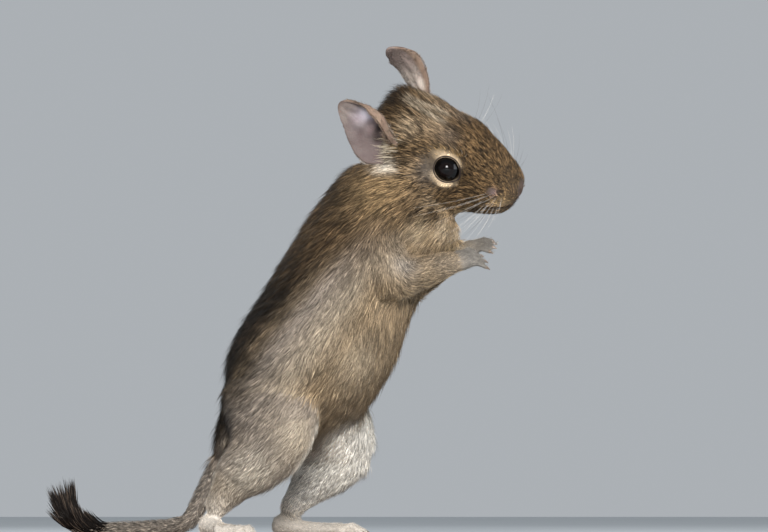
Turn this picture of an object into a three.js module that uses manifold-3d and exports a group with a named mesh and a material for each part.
// A degu rearing up on its hind legs, life size, as a still museum model: the head is lowered and rolled so that
// its crown turns to the right, the forepaws are held in front of the mouth, the hind feet stand flat on the ground
// and the tail is laid along it with its black tuft turned up. It leans too far forward to stand by itself, so its
// feet and tail are fixed on a thin wooden base.
// Millimetres, +Z up. The animal faces +X and its right side is towards -Y. The outlines take in the coat. Places
// are given with the top of the base at z = 0, and the whole is moved at the end so that z = 0 is under the base.
import * as THREE from "three";
import { mergeVertices } from "three/addons/utils/BufferGeometryUtils.js";
import Module from "manifold-3d";

const wasm = await Module();
wasm.setup();

// Driving sizes
const GAP = 0.3; // between a piece and what it grows from
const EAR_WALL = 1.0;
const EAR_ROLL = 130; // degrees that the front edge rolls over
const EYE_RADIUS = 4.7;
const LID_WALL = 0.7;
const HEAD_DROP = 27; // degrees, nose below the level
const HEAD_ROLL = 50; // degrees, crown turned to the right
const TAIL_ROOT = 3.8; // radius, short hair included
const TAIL_TIP = 2.2;
const TUFT_LOCK = 12; // length of a lock of the tuft
const TUFT_LOCKS = 14;
const BASE_SIZE = [140, 104, 5];
const BASE_AT = [-20, -10]; // centre of the base under the animal
const BASE_CORNER = 12; // radius of its corners
const BASE_BEVEL = 0.8;

// Places of the joints
const HEAD_AT = [58, 0, 133];
const RIGHT_LEG = {
  hip: [-4, -14.5, 47],
  knee: [-1.5, -24, 31.5],
  calf: [-13.5, -24.5, 21],
  ankle: [-21.3, -24, 10.5],
};
const LEFT_LEG = { hip: [9, 13.5, 47], knee: [20, 23, 31], calf: [10, 22, 21], ankle: [0.5, 20, 10] };
const RIGHT_ARM = { shoulder: [31, -12, 101], elbow: [38, -19.5, 86.5], wrist: [56.5, -16, 93] };
const LEFT_ARM = { shoulder: [35, 11, 103], elbow: [43, 17, 90], wrist: [60.5, 4, 100] };

const vec = (p) => new THREE.Vector3(...p);
const lerp = THREE.MathUtils.lerp;
const radians = THREE.MathUtils.degToRad;
const between = (a, b, share) => a.map((value, k) => lerp(value, b[k], share));
const station = (at, wide, up = wide, down = up) => ({ at, wide, up, down });

function solidFrom(positions, triangles) {
  const geometry = new THREE.BufferGeometry();
  geometry.setAttribute("position", new THREE.Float32BufferAttribute(positions.flat(), 3));
  geometry.setIndex(triangles.flat());
  return solidOf(geometry);
}

function solidOf(geometry) {
  const bare = geometry.clone();
  bare.deleteAttribute("normal");
  bare.deleteAttribute("uv");
  const merged = mergeVertices(bare, 1e-4);
  return new wasm.Manifold(
    new wasm.Mesh({ numProp: 3, vertProperties: merged.attributes.position.array, triVerts: merged.index.array }),
  );
}

function meshOf(name, solid, material) {
  const largest = solid.decompose().reduce((a, b) => (b.volume() > a.volume() ? b : a));
  const { vertProperties, triVerts } = largest.getMesh();
  const geometry = new THREE.BufferGeometry();
  geometry.setAttribute("position", new THREE.BufferAttribute(vertProperties, 3));
  geometry.setIndex(new THREE.BufferAttribute(triVerts, 1));
  geometry.computeVertexNormals();
  const mesh = new THREE.Mesh(geometry, material);
  mesh.name = name;
  return mesh;
}

const joined = (solids) => solids.reduce((whole, next) => whole.add(next));

// Degrees round a rounded end at which its rings lie, by the number of rings
const DOMES = [[], [42], [30, 60], [25, 48, 68]];

// A closed body strung on a smooth line. A station has its centre `at`, half width `wide`, half heights `up` and
// `down`, and `twist`, the degrees its back is turned towards the left. `grow` swells it all over, `caps` is how
// far each rounded end stands out, and `swells` are soft bumps and hollows, each with a place, reach and height.
function loft(stations, options = {}) {
  const { around = 16, steps = 3, caps = [1, 1], domes = 3, grow = 0, square = 2, left = [0, 1, 0] } = options;
  const { swells = [] } = options;
  const line = new THREE.CatmullRomCurve3(stations.map((s) => vec(s.at)), false, "centripetal");
  const sizes = new THREE.CatmullRomCurve3(
    stations.map((s) => new THREE.Vector3(s.wide, s.up ?? s.wide, s.down ?? s.up ?? s.wide)),
    false,
    "catmullrom",
    0.5,
  );
  const spans = stations.length - 1;
  const rings = [];
  for (let k = 0; k <= spans * steps; k++) {
    const t = k / (spans * steps);
    const span = Math.min(Math.floor(t * spans), spans - 1);
    const twist = radians(lerp(stations[span].twist ?? 0, stations[span + 1].twist ?? 0, t * spans - span));
    const along = line.getTangent(t);
    const side = vec(left).addScaledVector(along, -vec(left).dot(along)).normalize();
    const back = new THREE.Vector3().crossVectors(along, side);
    rings.push({
      centre: line.getPoint(t),
      along,
      side: side.clone().multiplyScalar(Math.cos(twist)).addScaledVector(back, -Math.sin(twist)),
      back: back.clone().multiplyScalar(Math.cos(twist)).addScaledVector(side, Math.sin(twist)),
      size: sizes.getPoint(t).addScalar(grow),
      scale: 1,
    });
  }
  const capRings = (ring, way, length) => {
    const reach = length * Math.min(ring.size.x, (ring.size.y + ring.size.z) / 2) + (length ? 0 : grow);
    return {
      rings: (length ? DOMES[domes] : []).map((turn) => ({
        ...ring,
        centre: ring.centre.clone().addScaledVector(ring.along, way * reach * Math.sin(radians(turn))),
        scale: Math.cos(radians(turn)),
      })),
      pole: ring.centre.clone().addScaledVector(ring.along, way * reach),
    };
  };
  const swollen = (point, centre) => {
    const out = point.clone().sub(centre).normalize();
    const height = swells.reduce(
      (sum, s) => sum + s.height * Math.exp(-point.distanceToSquared(vec(s.at)) / (2 * s.reach * s.reach)),
      0,
    );
    return point.addScaledVector(out, height).toArray();
  };
  const first = capRings(rings[0], -1, caps[0]);
  const last = capRings(rings.at(-1), 1, caps[1]);
  const all = [...first.rings.reverse(), ...rings, ...last.rings];
  const positions = [];
  const power = 2 / square;
  for (const ring of all) {
    for (let i = 0; i < around; i++) {
      const a = (2 * Math.PI * i) / around;
      const x = Math.sign(Math.cos(a)) * Math.abs(Math.cos(a)) ** power * ring.size.x;
      const half = Math.sin(a) > 0 ? ring.size.y : ring.size.z;
      const y = Math.sign(Math.sin(a)) * Math.abs(Math.sin(a)) ** power * half;
      const point = ring.centre
        .clone()
        .addScaledVector(ring.side, x * ring.scale)
        .addScaledVector(ring.back, y * ring.scale);
      positions.push(swollen(point, ring.centre));
    }
  }
  const triangles = [];
  for (let k = 0; k + 1 < all.length; k++) {
    for (let i = 0; i < around; i++) {
      const j = (i + 1) % around;
      const [a, b, c, d] = [k * around + i, k * around + j, (k + 1) * around + j, (k + 1) * around + i];
      triangles.push([a, b, c], [a, c, d]);
    }
  }
  const [start, end] = [positions.length, positions.length + 1];
  positions.push(swollen(first.pole, rings[0].centre), swollen(last.pole, rings.at(-1).centre));
  for (let i = 0; i < around; i++) {
    const j = (i + 1) % around;
    triangles.push([start, j, i], [end, (all.length - 1) * around + i, (all.length - 1) * around + j]);
  }
  return solidFrom(positions, triangles);
}

function ellipsoid(at, [x, y, z], segments = 16, turn = [0, 0, 0]) {
  const ball = new THREE.SphereGeometry(1, segments, Math.round(segments * 0.65));
  ball.scale(x, y, z);
  ball.rotateX(radians(turn[0])).rotateY(radians(turn[1])).rotateZ(radians(turn[2]));
  ball.translate(...at);
  return solidOf(ball);
}

const aboveBase = solidOf(new THREE.BoxGeometry(400, 300, 200).translate(0, 0, 100));

const fur = new THREE.MeshStandardMaterial({ color: 0x7d6a50, roughness: 0.9, metalness: 0 });
const paleFur = new THREE.MeshStandardMaterial({ color: 0xb9aa90, roughness: 0.9, metalness: 0 });
const bareSkin = new THREE.MeshStandardMaterial({ color: 0x9a8480, roughness: 0.7, metalness: 0 });
const eyeBlack = new THREE.MeshStandardMaterial({ color: 0x0b0a0c, roughness: 0.08, metalness: 0 });
const tailHair = new THREE.MeshStandardMaterial({ color: 0x57504a, roughness: 0.9, metalness: 0 });
const wood = new THREE.MeshStandardMaterial({ color: 0x4a3222, roughness: 0.5, metalness: 0 });
const blackHair = new THREE.MeshStandardMaterial({ color: 0x14120f, roughness: 0.8, metalness: 0 });

// Trunk: pear shaped, from the rump over the tail's root to the neck inside the back of the head, its belly turned
// a little to the right. A plane across the shoulders divides it into torso and neck.
const trunkStations = [
  { at: [-15, 1, 32.5], wide: 17.5, up: 12, down: 10, twist: 22 },
  { at: [-3.5, 0, 42.5], wide: 26, up: 21.8, down: 16.5, twist: 22 },
  { at: [5.6, 0, 55.5], wide: 28.5, up: 26.4, down: 23.8, twist: 20 },
  { at: [13.6, 0, 70.4], wide: 27, up: 26.2, down: 26.2, twist: 16 },
  { at: [22, 0, 88.2], wide: 23.5, up: 24.6, down: 24.6, twist: 12 },
  { at: [30.5, 0, 103], wide: 20.5, up: 24.2, down: 24, twist: 6 },
  { at: [38, 0, 115], wide: 18, up: 22, down: 24.5, twist: -6 },
  { at: [43, 2.5, 123], wide: 14.8, up: 18.5, down: 21.2, twist: -18 },
  { at: [47.5, 5.5, 130.5], wide: 9.5, up: 12, down: 12, twist: -38 },
];
const trunkOf = (grow) => loft(trunkStations, { around: 28, steps: 3, caps: [0.9, 0.5], grow });
const trunk = trunkOf(0);
const trunkGrown = trunkOf(GAP);
const neckPlane = new THREE.Vector3(0.5, 0, 0.866);
const neckOffset = neckPlane.dot(vec([35, 0, 112]));
const torso = trunk.trimByPlane(neckPlane.clone().negate().toArray(), GAP / 2 - neckOffset);

// Head, in a frame of its own: x to the nose, y to the left, z to the crown, origin midway between the eyes
const headStations = [
  { at: [-23, 0, 0], wide: 14.5, up: 14.5, down: 13.5 },
  { at: [-14, 0, -0.5], wide: 16.4, up: 16.2, down: 17 },
  { at: [-4, 0, -0.5], wide: 16, up: 16.2, down: 17.6 },
  { at: [5, 0, 0], wide: 14.6, up: 15.4, down: 16.2 },
  { at: [13, 0, 0], wide: 12.4, up: 13.2, down: 13.4 },
  { at: [19.6, 0, -0.6], wide: 10.4, up: 9.8, down: 11.4 },
  { at: [24.2, 0, -1.4], wide: 8.4, up: 7.1, down: 9 },
];
const bothSides = (x, y, z, reach, height) => [-1, 1].map((way) => ({ at: [x, way * y, z], reach, height }));
const headSwells = [
  ...bothSides(-3, 14.5, -9, 8.5, 6.4), // jowls
  ...bothSides(-12, 14.5, -7, 6, 2.2),
  ...bothSides(21.5, 8, -0.2, 4, 1.6), // whisker pads
  ...bothSides(1, 10.5, 12, 4, 0.7), // brows
  ...bothSides(1.5, 13, 6.5, 5.2, 1.5), // round the eyes
  ...bothSides(9, 12.5, 4.5, 3.6, -1.1), // hollows in front of the eyes
  ...bothSides(-14, 13, 9, 5.5, 1.6), // roots of the ears
  { at: [-28, 5, 9], reach: 7, height: 3.4 }, // nape
  { at: [18.5, 0, -12.2], reach: 4, height: 1.5 }, // chin
  { at: [28, 0, -0.4], reach: 1.6, height: -0.9 }, // cleft of the upper lip
  { at: [27, 0, -6], reach: 4.5, height: -1.5 }, // the lower jaw stands back
];
const headOf = (grow) =>
  loft(headStations, { around: 32, steps: 3, caps: [0.55, 0.44], grow, square: 2.2, swells: headSwells });

const headTurn = new THREE.Euler(radians(HEAD_ROLL), radians(HEAD_DROP), 0, "ZYX");
const headMatrix = new THREE.Matrix4().makeRotationFromEuler(headTurn).setPosition(...HEAD_AT);
const headGrown = headOf(GAP).transform(headMatrix.elements);
const trunkInHead = trunkGrown.transform(headMatrix.clone().invert().elements);

const headGroup = new THREE.Group();
headGroup.position.set(...HEAD_AT);
headGroup.rotation.copy(headTurn);

// Eyes, each behind lids that leave an almond-shaped opening
const eyeAt = (way) => [0.8, way * 12.5, 5.4];
const eyeOut = (way) => [0.12, way * 0.9, 0.42];
const eyeBall = (way, radius, segments) => ellipsoid(eyeAt(way), [radius, radius, radius], segments);
const offEye = (way, reach) => eyeAt(way).map((value, k) => value + eyeOut(way)[k] * reach);
const lids = (way) => {
  const radius = EYE_RADIUS + GAP + LID_WALL;
  return ellipsoid(offEye(way, -0.7), [radius + 0.6, radius, radius], 16);
};
const lidOpening = (way) => ellipsoid(offEye(way, 4), [4.6, 4, 3.8], 14, [way * 25, 0, way * -7]);

// Nose, nostrils and the line of the mouth
const LIP_DEPTH = 1.4;
const nosePad = ellipsoid([26.6, 0, 2.4], [1.9, 3.3, 2.4], 12);
const nostril = (way) => ellipsoid([28.1, way * 2, 2.8], [1.5, 0.6, 1.1], 8, [way * 35, 0, 0]);
const mouthLine = ellipsoid([16, 0, -4.6], [14, 13, 0.6], 20, [0, -17, 0])
  .trimByPlane([1, 0, 0], 19)
  .subtract(headOf(-LIP_DEPTH));
const headFeatures = (whole) => {
  let shaped = whole.add(nosePad).subtract(mouthLine);
  for (const way of [-1, 1]) {
    shaped = shaped
      .add(lids(way))
      .subtract(lidOpening(way))
      .subtract(eyeBall(way, EYE_RADIUS + GAP, 16))
      .subtract(nostril(way));
  }
  return shaped;
};

// Ears: a cupped leaf that closes to a tube at its root. Its front edge rolls over towards the opening, its back edge
// is a broad lobe, and the tip bends away from the opening.
const EAR_ROWS = 11;
const EAR_COLUMNS = 14;
const EAR_STRIDES = 10; // short straight steps that make up the curve across an ear
const EAR_TIP_CUP = 21; // degrees of curve left at the tip
const ROLL_FROM = 0.6; // the share of the front half where the edge begins to roll over
const EAR_SUNK = 3; // how deep the root reaches into the head
const EAR_LEVELS = [0, 0.2, 0.4, 0.6, 0.8, 0.92, 1]; // where the half widths below are given, from root to tip
const EVENED = 0.07; // the share of the length over which half widths are evened out
const RIGHT_EAR = {
  way: -1,
  root: [-21.7, -14, 5.6],
  stem: [-0.932, -0.109, 0.234],
  open: [0.53, -0.82, -0.03],
  length: 25.1,
  bend: 3.5,
  hindCup: 70,
  hindHalf: [7.5, 11.3, 10.8, 8.2, 4.6, 3.9, 2],
  foreHalf: [4, 8.5, 14.2, 11.4, 7.2, 5, 2.4],
};
const LEFT_EAR = {
  way: 1,
  root: [-20, 13, 7],
  stem: [-0.42, 0.5, 0.69],
  open: [0.7, 0.6, -0.3],
  length: 22.2,
  bend: 15.5,
  hindCup: 120,
  hindHalf: [5.3, 7, 8.2, 8.4, 9, 5.6, 0.6],
  foreHalf: [1.6, 3.9, 6.1, 8.2, 7.7, 8, 5.2],
};
const halfAt = (halves, v) => {
  const level = EAR_LEVELS.findIndex((top) => v <= top);
  if (level <= 0) return halves[level < 0 ? halves.length - 1 : 0];
  const share = (v - EAR_LEVELS[level - 1]) / (EAR_LEVELS[level] - EAR_LEVELS[level - 1]);
  return lerp(halves[level - 1], halves[level], share);
};
function ear({ way, root, stem: stemLine, open: openLine, length, bend: tipBend, hindCup, hindHalf, foreHalf }) {
  const stem = vec(stemLine).normalize();
  const open = vec(openLine);
  open.addScaledVector(stem, -open.dot(stem)).normalize();
  const front = new THREE.Vector3().crossVectors(stem, open).multiplyScalar(-way);
  // u runs across from the back edge (-1) to the front edge (1), v from the root (0) to the tip (1)
  const halfWidth = (ahead, v) => {
    const halves = ahead ? foreHalf : hindHalf;
    return (halfAt(halves, v - EVENED) + 2 * halfAt(halves, v) + halfAt(halves, v + EVENED)) / 4;
  };
  const cupped = (ahead, v) =>
    radians(ahead ? lerp(95, EAR_TIP_CUP, Math.min(1, v * 1.5)) : lerp(hindCup, EAR_TIP_CUP, Math.min(1, v * 2)));
  const rolled = (ahead, v) => (ahead ? radians(EAR_ROLL * Math.min(1, 2.4 * (1 - v))) : 0);
  const middle = (u, v) => {
    const ahead = u > 0;
    const stride = (Math.abs(u) * halfWidth(ahead, v)) / EAR_STRIDES;
    let [out, up] = [0, 0];
    for (let k = 0; k < EAR_STRIDES; k++) {
      const share = (Math.abs(u) * (k + 0.5)) / EAR_STRIDES;
      const rolledShare = Math.max(0, (share - ROLL_FROM) / (1 - ROLL_FROM)) ** 1.5;
      const turn = cupped(ahead, v) * share + rolled(ahead, v) * rolledShare;
      out += Math.cos(turn) * stride;
      up += Math.sin(turn) * stride;
    }
    return vec(root)
      .addScaledVector(stem, length * v - EAR_SUNK)
      .addScaledVector(open, up - tipBend * v ** 3)
      .addScaledVector(front, Math.sign(u) * out);
  };
  const faces = [[], []];
  for (let j = 0; j <= EAR_ROWS; j++) {
    for (let i = 0; i <= EAR_COLUMNS; i++) {
      const [u, v] = [(2 * i) / EAR_COLUMNS - 1, j / EAR_ROWS];
      const du = middle(u + 0.01, v).sub(middle(u - 0.01, v));
      const dv = middle(u, v + 0.01).sub(middle(u, Math.max(0, v - 0.01)));
      const normal = new THREE.Vector3().crossVectors(du, dv).normalize();
      faces[0].push(middle(u, v).addScaledVector(normal, EAR_WALL / 2).toArray());
      faces[1].push(middle(u, v).addScaledVector(normal, -EAR_WALL / 2).toArray());
    }
  }
  const width = EAR_COLUMNS + 1;
  const count = faces[0].length;
  const triangles = [];
  for (let j = 0; j < EAR_ROWS; j++) {
    for (let i = 0; i < EAR_COLUMNS; i++) {
      const [a, b, c, d] = [j * width + i, j * width + i + 1, (j + 1) * width + i + 1, (j + 1) * width + i];
      triangles.push([a, b, c], [a, c, d]);
      triangles.push([count + a, count + c, count + b], [count + a, count + d, count + c]);
    }
  }
  const rim = [];
  for (let i = 0; i < EAR_COLUMNS; i++) rim.push(i);
  for (let j = 0; j < EAR_ROWS; j++) rim.push(j * width + EAR_COLUMNS);
  for (let i = EAR_COLUMNS; i > 0; i--) rim.push(EAR_ROWS * width + i);
  for (let j = EAR_ROWS; j > 0; j--) rim.push(j * width);
  rim.forEach((a, k) => {
    const b = rim[(k + 1) % rim.length];
    triangles.push([a, count + a, b], [b, count + a, count + b]);
  });
  const made = solidFrom([...faces[0], ...faces[1]], triangles);
  if (made.volume() >= 0) return made;
  return solidFrom([...faces[0], ...faces[1]], triangles.map(([a, b, c]) => [a, c, b]));
}

headGroup.add(
  meshOf("head", headFeatures(headOf(0)), fur),
  meshOf("eye_right", eyeBall(-1, EYE_RADIUS, 16), eyeBlack),
  meshOf("eye_left", eyeBall(1, EYE_RADIUS, 16), eyeBlack),
  meshOf("ear_right", ear(RIGHT_EAR).subtract(headOf(GAP)).subtract(trunkInHead), bareSkin),
  meshOf("ear_left", ear(LEFT_EAR).subtract(headOf(GAP)).subtract(trunkInHead), bareSkin),
);

const neck = trunk.trimByPlane(neckPlane.toArray(), neckOffset + GAP / 2).subtract(headGrown);

// A limb is two tapering lengths that meet at its middle joint
const limb = (lengths, grow, around) =>
  joined(lengths.map((stations) => loft(stations, { around, steps: 2, caps: [0.8, 0.8], domes: 2, grow })));

const hindLeg = (leg, grow = 0) =>
  limb(
    [
      [station(leg.hip, 14, 18), station(between(leg.hip, leg.knee, 0.5), 13, 16.5), station(leg.knee, 10, 12.5)],
      [
        station(leg.knee, 9, 11.5),
        station(between(leg.knee, leg.calf, 0.55), 9, 11),
        station(leg.calf, 7.8, 9.4),
        station(between(leg.calf, leg.ankle, 0.6), 5.4, 6),
        station(leg.ankle, 4.4, 4.5),
      ],
    ],
    grow,
    16,
  );

const foreLeg = (arm, grow = 0) =>
  limb(
    [
      [station(arm.shoulder, 9, 11), station(arm.elbow, 7, 7.2)],
      [station(arm.elbow, 6.2, 6.8), station(between(arm.elbow, arm.wrist, 0.5), 5.6, 6), station(arm.wrist, 4.4, 4.6)],
    ],
    grow,
    12,
  );

// A digit arches from its root to its pad and ends in a claw
function digit(root, tip, radius, rise) {
  const knuckle = between(root, tip, 0.45);
  knuckle[2] += rise;
  const pad = between(root, tip, 0.86);
  const point = between(pad, tip, 1.9);
  point[2] -= radius * 0.6;
  const toe = [station(root, radius * 1.1), station(knuckle, radius * 1.08), station(pad, radius * 0.92)];
  const claw = [station(pad, radius * 0.62), station(tip, radius * 0.42), station(point, 0.28)];
  return joined([
    loft(toe, { around: 7, steps: 1, caps: [0, 0.9], domes: 2 }),
    loft(claw, { around: 5, steps: 1, caps: [0, 0.5], domes: 1 }),
  ]);
}

// Hind foot: a long sole on the ground, four long toes fanned from its front and a short inner one
function hindFoot(heel, yaw, length, way, grownLeg) {
  const [c, s] = [Math.cos(radians(yaw)), Math.sin(radians(yaw))];
  const on = (x, y, z) => [heel[0] + x * c - y * s, heel[1] + x * s + y * c, z];
  const sole = loft(
    [
      station(on(0, 0, 4), 3.9, 4.1),
      station(on(length * 0.3, 0, 2.6), 4, 2.9),
      station(on(length * 0.58, 0, 2.2), 5.2, 2.7),
      station(on(length * 0.68, 0, 2.2), 5.6, 2.7),
    ],
    { around: 12, steps: 2, caps: [0.8, 0.5], domes: 2, left: [-s, c, 0] },
  );
  const toes = [-1.5, -0.5, 0.5, 1.5].map((place) =>
    digit(
      on(length * 0.66, place * 2.9, 2.3),
      on(length * (1 - 0.03 * place * place), place * 4.2, 1.1),
      1.65,
      1.6,
    ),
  );
  const inner = digit(on(length * 0.5, way * -3.6, 2), on(length * 0.76, way * -7, 1), 1.2, 0.8);
  return joined([sole, ...toes, inner]).subtract(grownLeg).intersect(aboveBase);
}

// Forepaw: a small palm with four fingers
function forePaw(wrist, finger, spread, grownArm) {
  const out = vec(finger).sub(vec(wrist)).normalize();
  const across = vec(spread).addScaledVector(out, -vec(spread).dot(out)).normalize();
  const on = (x, y, z = 0) =>
    vec(wrist).addScaledVector(out, x).addScaledVector(across, y).add(new THREE.Vector3(0, 0, z)).toArray();
  const palm = loft([station(on(1, 0), 4.2, 3.6), station(on(5, 0), 4.6, 3), station(on(7, 0), 4.2, 2.6)], {
    around: 12,
    steps: 1,
    caps: [0.8, 0.6],
    domes: 2,
    left: across.toArray(),
  });
  const fingers = [-1.5, -0.5, 0.5, 1.5].map((place) =>
    digit(on(6.6, place * 2.0), on(14.2 - 0.5 * place * place, place * 2.9, -1.6), 1.25, 1.0),
  );
  return joined([palm, ...fingers]).subtract(grownArm);
}

const rightLeg = hindLeg(RIGHT_LEG);
const leftLeg = hindLeg(LEFT_LEG);
const rightLegGrown = hindLeg(RIGHT_LEG, GAP);
const leftLegGrown = hindLeg(LEFT_LEG, GAP);

// Tail: laid down to the ground and along it. Planes across it divide it into two lengths and the tuft.
const tailLine = [
  [-18, 3, 34],
  [-25, 4, 22.5],
  [-30, 5, 12.5],
  [-34, 6, 5.6],
  [-41, 8.5, 3.4],
  [-51, 11, 2.8],
  [-61, 9, 2.5],
  [-69, 4, 2.4],
  [-73.5, 0, 3.8],
  [-75, -1.5, 7],
];
const tailCurve = new THREE.CatmullRomCurve3(tailLine.map(vec), false, "centripetal");
const tailStation = (t) => station(tailCurve.getPoint(t).toArray(), lerp(TAIL_ROOT, TAIL_TIP, t));
const TAIL_RINGS = 24;
const tail = loft(
  Array.from({ length: TAIL_RINGS + 1 }, (_, k) => tailStation(k / TAIL_RINGS)),
  { around: 12, steps: 1, caps: [0.5, 1], domes: 2 },
);
const TAIL_JOINT = 0.42; // shares of the tail's length at which its two lengths and the tuft meet
const TUFT_FROM = 0.78;
const acrossTail = (share) => {
  const along = tailCurve.getTangent(share);
  return [along, along.dot(tailCurve.getPoint(share))];
};
const beyond = (solid, share) => {
  const [along, offset] = acrossTail(share);
  return solid.trimByPlane(along.toArray(), offset + GAP / 2);
};
const before = (solid, share) => {
  const [along, offset] = acrossTail(share);
  return solid.trimByPlane(along.negate().toArray(), GAP / 2 - offset);
};

// Tuft: flat tapered locks of black hair that fan from the last of the tail and bend upwards
let seed = 7;
const chance = (low, high) => {
  seed = (seed * 16807) % 2147483647;
  return low + ((high - low) * seed) / 2147483647;
};
function tuftLock(k) {
  const root = tailCurve.getPoint(lerp(0.86, 0.99, (k + 0.5) / TUFT_LOCKS));
  const angle = k * 2.4 + chance(-0.3, 0.3);
  const out = new THREE.Vector3(Math.cos(angle), Math.sin(angle), 0);
  const length = TUFT_LOCK * chance(0.85, 1.12);
  const spread = chance(0.22, 0.4);
  const at = (share) =>
    root
      .clone()
      .addScaledVector(out, length * spread * share ** 1.4 + 0.6)
      .add(new THREE.Vector3(0, 0, length * share - 1))
      .toArray();
  const [base, low, high, tip] = [at(0), at(0.35), at(0.7), at(1)];
  return loft([station(base, 1.1, 0.7), station(low, 1.4, 0.6), station(high, 0.9, 0.4), station(tip, 0.2, 0.15)], {
    around: 4,
    steps: 1,
    caps: [0, 0],
    left: [-out.y, out.x, 0],
  });
}
const tuft = joined([tail, ...Array.from({ length: TUFT_LOCKS }, (_, k) => tuftLock(k))]);

// Base: a thin plate with rounded corners and a bevelled edge
function base() {
  const [length, width, height] = BASE_SIZE;
  const [x, y, r] = [length / 2 - BASE_BEVEL, width / 2 - BASE_BEVEL, BASE_CORNER - BASE_BEVEL];
  const outline = new THREE.Shape();
  outline.absarc(x - r, y - r, r, 0, Math.PI / 2);
  outline.absarc(r - x, y - r, r, Math.PI / 2, Math.PI);
  outline.absarc(r - x, r - y, r, Math.PI, 1.5 * Math.PI);
  outline.absarc(x - r, r - y, r, 1.5 * Math.PI, 2 * Math.PI);
  const plate = new THREE.ExtrudeGeometry(outline, {
    depth: height - GAP - 2 * BASE_BEVEL,
    bevelThickness: BASE_BEVEL,
    bevelSize: BASE_BEVEL,
    bevelSegments: 1,
    curveSegments: 6,
  });
  plate.translate(...BASE_AT, BASE_BEVEL - height);
  return solidOf(plate);
}

const animal = new THREE.Group();
animal.add(
  headGroup,
  meshOf("torso", torso, fur),
  meshOf("neck", neck, fur),
  meshOf("hindleg_right", rightLeg.subtract(trunkGrown), fur),
  meshOf("hindleg_left", leftLeg.subtract(trunkGrown).subtract(rightLegGrown), fur),
  meshOf("foreleg_right", foreLeg(RIGHT_ARM).subtract(trunkGrown), fur),
  meshOf("foreleg_left", foreLeg(LEFT_ARM).subtract(trunkGrown), fur),
  meshOf("hindfoot_right", hindFoot([-24, -23, 0], -66, 32, -1, rightLegGrown), paleFur),
  meshOf("hindfoot_left", hindFoot([-3.5, 20.5, 0], 3, 32.5, 1, leftLegGrown), paleFur),
  meshOf("forepaw_right", forePaw(RIGHT_ARM.wrist, [68, -11, 97], [0.3, -0.5, -0.8], foreLeg(RIGHT_ARM, GAP)), paleFur),
  meshOf("forepaw_left", forePaw(LEFT_ARM.wrist, [71, 0, 103], [0.2, 0.7, 0.6], foreLeg(LEFT_ARM, GAP)), paleFur),
  meshOf("tail_root", before(tail, TAIL_JOINT).intersect(aboveBase).subtract(trunkGrown).subtract(rightLegGrown), tailHair),
  meshOf("tail_end", before(beyond(tail, TAIL_JOINT), TUFT_FROM).intersect(aboveBase), tailHair),
  meshOf("tail_tuft", beyond(tuft, TUFT_FROM).intersect(aboveBase), blackHair),
  meshOf("stand_base", base(), wood),
);
animal.position.set(-BASE_AT[0], -BASE_AT[1], BASE_SIZE[2]);

const root = new THREE.Group();
root.add(animal);

export default root;
